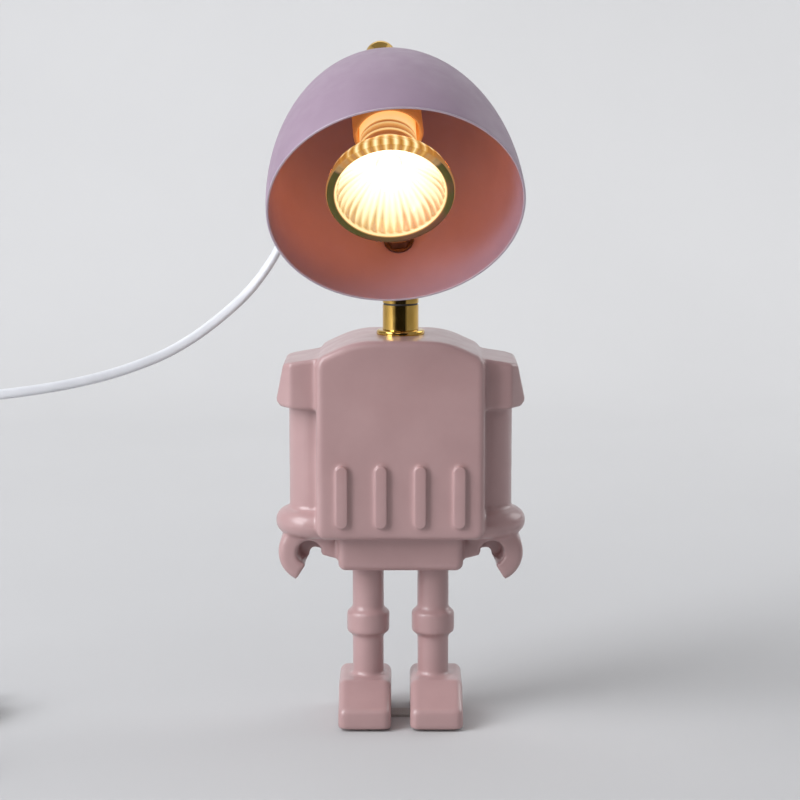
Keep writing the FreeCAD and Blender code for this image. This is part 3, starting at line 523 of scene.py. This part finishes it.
# %% The shade
bpy.ops.mesh.primitive_uv_sphere_add(segments=160, ring_count=96, radius=shade_radius, location=(0, 0, 0))
shade = bpy.context.object
shade.scale = (1, 1, (shade_depth + crown_swell) / shade_radius)
bpy.ops.object.transform_apply(scale=True)
bpy.ops.object.mode_set(mode="EDIT")
bpy.ops.mesh.select_all(action="SELECT")
bpy.ops.mesh.bisect(plane_co=(0, 0, 0), plane_no=(0, 0, 1), clear_inner=True)
bpy.ops.object.mode_set(mode="OBJECT")
apply_modifier(shade, "SOLIDIFY", thickness=shade_wall, offset=-1, use_even_offset=True)
apply_modifier(shade, "BEVEL", width=0.00035, segments=3, limit_method="ANGLE", angle_limit=math.radians(50))
# the points along the rim's rounded edge get a painted highlight
rim_highlight_level = shade.data.attributes.new("rim", "FLOAT", "POINT")
rim_highlight_band = 0.0003
for vertex in shade.data.vertices:
    rim_highlight_level.data[vertex.index].value = 1.0 if vertex.co.z < rim_highlight_band else 0.0
settle(to_head(shade), "shade_bowl", "head", ["shade"], "mauve_paint", paint, 40)

# %% [markdown]
# ## Turned shapes
#
# Bulb and lampholder are round, so each starts as a circle that is extruded ring by ring along its profile.

# %% Helper for turned shapes


def stacked_rings(profile, segments, capped=True):
    """Extrudes a circle through the profile's (radius, height) points, in millimetres."""
    radius, height = profile[0]
    bpy.ops.mesh.primitive_circle_add(vertices=segments, radius=radius * MM, location=(0, 0, height * MM),
                                      fill_type="NGON" if capped else "NOTHING")
    obj = bpy.context.object
    bpy.ops.object.mode_set(mode="EDIT")
    for next_radius, next_height in profile[1:]:
        step = {"value": (0, 0, (next_height - height) * MM)}
        bpy.ops.mesh.extrude_region_move(TRANSFORM_OT_translate=step)
        ratio = next_radius / radius
        bpy.ops.transform.resize(value=(ratio, ratio, 1), center_override=(0, 0, 0))
        radius, height = next_radius, next_height
    if not capped:
        bpy.ops.mesh.select_all(action="DESELECT")
        bpy.ops.mesh.select_mode(type="EDGE")
        bpy.ops.mesh.select_non_manifold()
        bpy.ops.mesh.bridge_edge_loops()
    bpy.ops.mesh.select_all(action="SELECT")
    bpy.ops.mesh.normals_make_consistent(inside=False)
    bpy.ops.object.mode_set(mode="OBJECT")
    bpy.ops.object.transform_apply(location=True)
    return obj


print("helper", stacked_rings.__name__)

# %% [markdown]
# ## The bulb
#
# A halogen reflector bulb is a pressed glass bowl with a metal film on it. The film throws the light forwards and
# lets some amber light through backwards, which warms the inside of the shade. Inside, the bowl has flutes that
# spread the beam. The burning capsule is far brighter than the picture can show, so the flutes near it are white and
# their pattern only shows further out. A value stored on each vertex carries that fall of light to the material.

# %% The lit reflector
bulb_seat = Matrix.Translation((0, 0, 0.052))  # the bulb leans a little in its holder, about its pins
bulb_tip = math.radians(2)
bulb_lean = bulb_seat @ Matrix.Rotation(-bulb_tip, 4, "X") @ Matrix.Rotation(bulb_tip, 4, "Y")
bulb_lean = bulb_lean @ bulb_seat.inverted()


def lean_bulb(obj):
    obj.matrix_world = bulb_lean @ obj.matrix_world
    return obj


flutes = 40
bowl_mouth, bowl_half, bowl_end = (20.8, 8.2), (17.2, 16.5), (5.2, 25.2)  # radius and height, in millimetres
bowl_steps = 16


def bowl_radius(height):
    """Parabola through the mouth, the half depth and the end of the bowl."""
    points = (bowl_mouth, bowl_half, bowl_end)
    total = 0.0
    for k, (radius, own) in enumerate(points):
        share = radius
        for j, (_, other) in enumerate(points):
            if j != k:
                share *= (height - other) / (own - other)
        total += share
    return total


inner_heights = [bowl_end[1] + (bowl_mouth[1] - bowl_end[1]) * k / bowl_steps for k in range(bowl_steps + 1)]
inner_wall = [(bowl_radius(h), h) for h in inner_heights]
lip = [(21.1, 7.2), (21.6, 6.6), (22.0, 6.3), (23.2, 6.0), (24.2, 6.2), (24.5, 6.4), (24.7, 6.6), (25.0, 7.2),
       (25.0, 8.4), (24.7, 9.4), (24.5, 10.4)]
outer_wall = [(23.6, 12.6), (22.0, 15.2), (20.0, 17.9), (17.9, 20.4), (15.8, 22.8), (13.9, 24.9), (12.4, 26.6)]
reflector = stacked_rings(inner_wall + lip + outer_wall, 2 * flutes, capped=False)

# %% The fall of light on the reflector
lip_back, amber_from = 9.5, 19  # heights where the outer wall starts, and where it shines all round
lip_inner, lip_outer = 21.8, 24.6  # radii of the two edges of the lip
wall_above = 0.3  # how far a flute may stand off the bowl's curve and still be on its inner wall


def ring_place(place):
    """Radius and height in millimetres, and the number of the flute's side: the odd ones are grooves."""
    segment = round(math.atan2(place.y, place.x) / math.pi * flutes)
    return math.hypot(place.x, place.y) / MM, place.z / MM, segment


def glow_level(place):
    """How brightly a point of the bowl shines, from 0 to 1 and a little over."""
    radius, height, segment = ring_place(place)
    groove = segment % 2 == 1
    # the upper side gets a painted highlight: a brighter bowl with fainter streaks, bright flutes on the upper flank,
    # a glint on the lip's top
    upward = max(0.0, -place.y / MM / radius)
    if 8 < height < 25.3 and radius < bowl_radius(height) + wall_above:
        near = (height - bowl_mouth[1]) / (bowl_end[1] - bowl_mouth[1])
        streak = (0.25 + 0.11 * math.sin(2.3 * segment)) * (1 - 0.85 * near) * (1 - 0.9 * upward)
        return 0.56 + 0.44 * near + 0.20 * upward - (streak if groove else 0.0)
    if height > amber_from or (height > lip_back and upward > 0.5):
        return 0.44 if groove else 0.62
    if height > lip_back:
        return 0.0
    if radius < lip_inner:
        return 0.62
    # painted glint along the top of the lip
    painted_glint = min(1.0, max(0.0, (upward - 0.55) / 0.35))
    return (0.22 if radius > lip_outer else 0.15) + (0.16 if groove else 0.46) * painted_glint


def in_groove(place):
    radius, height, segment = ring_place(place)
    return 9 < height < 24 and radius < bowl_radius(height) + wall_above and segment % 2 == 1


glow = reflector.data.attributes.new("glow", "FLOAT", "POINT")
for vertex in reflector.data.vertices:
    glow.data[vertex.index].value = glow_level(vertex.co)
select_points(reflector, in_groove)
groove_depth = 0.97  # a groove's radius as a share of the bowl's
bpy.ops.transform.resize(value=(groove_depth, groove_depth, 1), center_override=(0, 0, 0))
bpy.ops.object.mode_set(mode="OBJECT")
print("points of the reflector", len(reflector.data.vertices))

# %% The lit glass
lit, tree, shader, place = new_material("lit_reflector")
level = tree.nodes.new("ShaderNodeAttribute")
level.attribute_name = "glow"
green_to_brown = ramp(tree, noise(tree, place, 45, 1).outputs["Fac"],
                      [(0.42, (0.13, 0.11, 0.015)), (0.58, (0.24, 0.085, 0.04))])
tone = ramp(tree, level.outputs["Fac"],
            [(0.15, (0.0, 0.0, 0.0)), (0.20, (0.42, 0.28, 0.12)), (0.42, (0.10, 0.07, 0.03))])
both = tree.nodes.new("ShaderNodeMix")
both.data_type = "RGBA"
both.blend_type = "LIGHTEN"
both.inputs["Factor"].default_value = 1.0
tree.links.new(tone.outputs["Color"], both.inputs["A"])
tree.links.new(green_to_brown.outputs["Color"], both.inputs["B"])
tree.links.new(both.outputs["Result"], shader.inputs["Base Color"])
light = ramp(tree, level.outputs["Fac"],
             [(0.0, (0.92, 0.25, 0.035)), (0.10, (0.0, 0.0, 0.0)), (0.16, (0.0, 0.0, 0.0)),
              (0.22, (0.03, 0.014, 0.004)), (0.38, (0.055, 0.021, 0.003)), (0.50, (0.085, 0.044, 0.011)),
              (0.66, (0.15, 0.125, 0.070)), (1.0, (0.24, 0.23, 0.19))])
tree.links.new(light.outputs["Color"], shader.inputs["Emission Color"])
shader.inputs["Emission Strength"].default_value = 8.0
shader.inputs["Metallic"].default_value = 0.3
rough = spread(tree, noise(tree, place, 600).outputs["Fac"], 0.10, 0.22)
tree.links.new(rough.outputs["Result"], shader.inputs["Roughness"])
bump(tree, shader, noise(tree, place, 900, 2).outputs["Fac"], 0.15, 0.0001)
settle(to_head(lean_bulb(reflector)), "bulb_bowl", "head", ["bulb_reflector"], "bulb_glass", lit, 60)

# %% [markdown]
# ## The capsule, the front glass and the ceramic foot
#
# In the bowl stands a small quartz capsule with the filament. It is too bright to show any detail, so a plain turned
# shape that shines evenly is enough. The front glass is a thin clear disc. The foot is white steatite with grooves
# round it. Its finish paints the bulb's orange light on it as a glow, with painted shade in the grooves and up in the
# holder. A value on its points says how much.

# %% The capsule
burning, tree, shader, place = new_material("burning_capsule")
haze = ramp(tree, noise(tree, place, 400).outputs["Fac"], [(0.3, (1.0, 0.86, 0.60)), (0.7, (1.0, 0.93, 0.74))])
tree.links.new(haze.outputs["Color"], shader.inputs["Emission Color"])
shader.inputs["Emission Strength"].default_value = 4.0
capsule = stacked_rings([(1.2, 10.6), (2.9, 11.2), (4.0, 12.4), (4.5, 14.2), (4.5, 23.6), (3.4, 24.6), (3.4, 26.0)],
                        32)
settle(to_head(lean_bulb(capsule)), "bulb_burner", "head", ["bulb_capsule"], "bulb_glass", burning, 60)

# %% The front glass
clear, tree, shader, place = new_material("clear_glass")
tint = ramp(tree, noise(tree, place, 60).outputs["Fac"], [(0.3, (0.95, 0.94, 0.88)), (0.7, (1.0, 0.99, 0.95))])
tree.links.new(tint.outputs["Color"], shader.inputs["Base Color"])
shader.inputs["Alpha"].default_value = 0.10
shader.inputs["Roughness"].default_value = 0.04
glass = stacked_rings([(20.2, 6.6), (20.8, 6.8), (21.0, 7.2), (21.0, 8.0)], 96)
settle(to_head(lean_bulb(glass)), "bulb_glass", "head", ["bulb_front_glass"], "bulb_glass", clear, 30)

# %% The ceramic foot
# painted light: this emission paints the bulb's orange light on the white steatite foot
painted_lit_ceramic, tree, shader, place = new_material("painted_lit_ceramic")
tone = ramp(tree, noise(tree, place, 180, 4).outputs["Fac"], [(0.3, (0.62, 0.50, 0.34)), (0.7, (0.74, 0.62, 0.44))])
tree.links.new(tone.outputs["Color"], shader.inputs["Base Color"])
level = tree.nodes.new("ShaderNodeAttribute")
level.attribute_name = "glow"
light = ramp(tree, level.outputs["Fac"],
             [(0.0, (0.30, 0.07, 0.006)), (0.6, (0.75, 0.34, 0.08)), (1.0, (1.0, 0.70, 0.30))])
tree.links.new(light.outputs["Color"], shader.inputs["Emission Color"])
shader.inputs["Emission Strength"].default_value = 0.85
shader.inputs["Roughness"].default_value = 0.35
bump(tree, shader, noise(tree, place, 1500, 3).outputs["Fac"], 0.2, 0.0001)
base = stacked_rings([(10.0, 25.4), (12.0, 26.3), (12.2, 27.0), (12.2, 28.2), (11.5, 28.9), (11.5, 31.2), (11.9, 31.7),
                      (11.9, 32.6), (11.25, 33.2), (11.25, 37.2), (10.7, 37.7), (10.7, 38.5), (11.25, 39.0),
                      (11.25, 51.0), (10.6, 52.0), (9.6, 52.5)], 96)
# painted shade: the painted glow drops to nothing at these groove edges and to half up in the holder
shaded_groove_edges = (28.9, 31.2, 33.2, 37.7, 38.5)  # heights of the grooves' edges, in millimetres
ring_reach = 0.05
holder_shade_from = 45
foot_painted_light = base.data.attributes.new("glow", "FLOAT", "POINT")
for vertex in base.data.vertices:
    height = vertex.co.z / MM
    groove = min(abs(height - ring) for ring in shaded_groove_edges) < ring_reach
    foot_painted_light.data[vertex.index].value = 0.0 if groove else (0.5 if height > holder_shade_from else 1.0)
settle(to_head(lean_bulb(base)), "bulb_foot", "head", ["bulb_base"], "white_ceramic", painted_lit_ceramic, 40)

# %% [markdown]
# ## The lampholder
#
# The bulb's two pins turn into a round holder of white steatite. Its skirt reaches down round the bulb's base, with a
# soft pressed edge, and a shallow groove runs round its back half. The bulb's light on it is painted into its finish:
# an orange base colour and a faint warm glow of its own.

# %% The lampholder
# painted light: the orange base colour and the faint emission stand for the bulb's light on white steatite
painted_lit_porcelain = grained("lit_porcelain", (0.52, 0.30, 0.14), (0.62, 0.37, 0.18), 150, 0.5, 0.7, 1800, 0.15)[0]
shader = painted_lit_porcelain.node_tree.nodes["Principled BSDF"]
shader.inputs["Emission Color"].default_value = (1.0, 0.29, 0.045, 1)
shader.inputs["Emission Strength"].default_value = 0.20
holder = stacked_rings([(12.3, 52.6), (12.3, 43.6), (12.5, 43.0), (13.1, 42.8), (13.7, 43.2), (14.0, 44.2),
                        (14.0, 57.6), (13.5, 58.2), (13.5, 59.2), (14.0, 59.8), (14.0, 64.4), (13.8, 65.1),
                        (13.2, 65.6), (12.4, 65.8)], 96)
settle(to_head(holder), "holder_body", "head", ["lampholder"], "white_ceramic", painted_lit_porcelain, 40)

# %% [markdown]
# ## Stage
#
# A plain pale sheet lies under the lamp and sweeps up behind it in one curve, as in a photographer's studio. A plane
# whose back edge is extruded upwards and bevelled gives that curve. A large soft light and a small low one stand on
# the left, a weak one in front lifts the shadows, one at the back right gives the shade its light edge, and one over
# the sheet brightens its back. The surroundings in front are dark, so that the polished neck has a dark stripe
# between two bright ones.

# %% Floor and backdrop
sweep_front, sweep_back, sweep_radius, sweep_height, sweep_width = -0.9, 1.3, 0.5, 2.2, 7
bpy.ops.mesh.primitive_plane_add(size=1, location=(0, (sweep_front + sweep_back) / 2, 0))
floor = bpy.context.object
floor.scale = (sweep_width, sweep_back - sweep_front, 1)
bpy.ops.object.transform_apply(location=True, rotation=True, scale=True)
bpy.ops.object.mode_set(mode="EDIT")
bpy.ops.mesh.select_all(action="DESELECT")
bpy.ops.object.mode_set(mode="OBJECT")
for edge in floor.data.edges:
    edge.select = all(floor.data.vertices[v].co.y > sweep_back - 0.01 for v in edge.vertices)
bpy.ops.object.mode_set(mode="EDIT")
bpy.ops.mesh.select_mode(type="EDGE")
bpy.ops.mesh.extrude_region_move(TRANSFORM_OT_translate={"value": (0, 0, sweep_height)})
bpy.ops.object.mode_set(mode="OBJECT")
apply_modifier(floor, "BEVEL", width=sweep_radius, segments=24, limit_method="ANGLE", angle_limit=math.radians(30))
bpy.ops.object.shade_smooth()
floor.name = "floor"
floor_material, tree, shader, place = new_material("pale_sheet")
sheet_tone = ramp(tree, noise(tree, place, 3).outputs["Fac"],
                  [(0.3, (0.53, 0.53, 0.535)), (0.7, (0.55, 0.55, 0.555))])
tree.links.new(sheet_tone.outputs["Color"], shader.inputs["Base Color"])
shader.inputs["Roughness"].default_value = 0.9
floor.data.materials.append(floor_material)
print("floor", len(floor.data.polygons), "faces")

# %% Lights
world = bpy.data.worlds.new("studio")
bpy.context.scene.world = world
world.use_nodes = True
sky = world.node_tree.nodes["Background"]
way = world.node_tree.nodes.new("ShaderNodeTexCoord")
split = world.node_tree.nodes.new("ShaderNodeSeparateXYZ")
world.node_tree.links.new(way.outputs["Generated"], split.inputs["Vector"])
dark_until, light_from = -0.86, -0.74  # along the way the surroundings are seen: -1 is straight in front
front = spread(world.node_tree, split.outputs["Y"], 0.05, 1.0)
front.inputs["From Min"].default_value = dark_until
front.inputs["From Max"].default_value = light_from
sky_tone = ramp(world.node_tree, front.outputs["Result"], [(0.0, (0.0, 0.0, 0.0)), (1.0, (0.95, 0.96, 1.0))])
world.node_tree.links.new(sky_tone.outputs["Color"], sky.inputs["Color"])
sky.inputs["Strength"].default_value = 0.34


def area_light(name, place, aim, size, watts, colour=(1, 1, 1)):
    light = bpy.data.lights.new(name, "AREA")
    light.shape = "RECTANGLE"
    light.size, light.size_y = size
    light.energy = watts
    light.color = colour
    lamp = bpy.data.objects.new(name, light)
    bpy.context.scene.collection.objects.link(lamp)
    lamp.location = place
    lamp.rotation_euler = (Vector(aim) - Vector(place)).to_track_quat("-Z", "Y").to_euler()


area_light("window", (-1.35, -0.75, 1.25), (0, 0, 0.15), (1.2, 1.4), 33, (0.95, 0.97, 1.0))
area_light("low_left", (-1.3, -0.95, 0.45), (0, 0, 0.2), (0.6, 0.6), 6.5, (0.97, 0.97, 1.0))
area_light("front", (-0.4, -1.7, 0.9), (0, 0, 0.15), (0.8, 0.8), 3.2, (1.0, 0.97, 0.93))
area_light("bounce", (1.4, 0.7, 0.9), (0, 0, 0.2), (1.0, 1.0), 8)
area_light("backdrop", (0.0, 0.5, 1.9), (0, 1.5, 1.6), (2.0, 0.8), 30)

# %% [markdown]
# ## Cord facts and the end of the script
#
# The whole length of the cord is printed.

print("cord in all", round(upper_length + lower_length + coil_length, 3), "m")

bpy.context.view_layer.update()
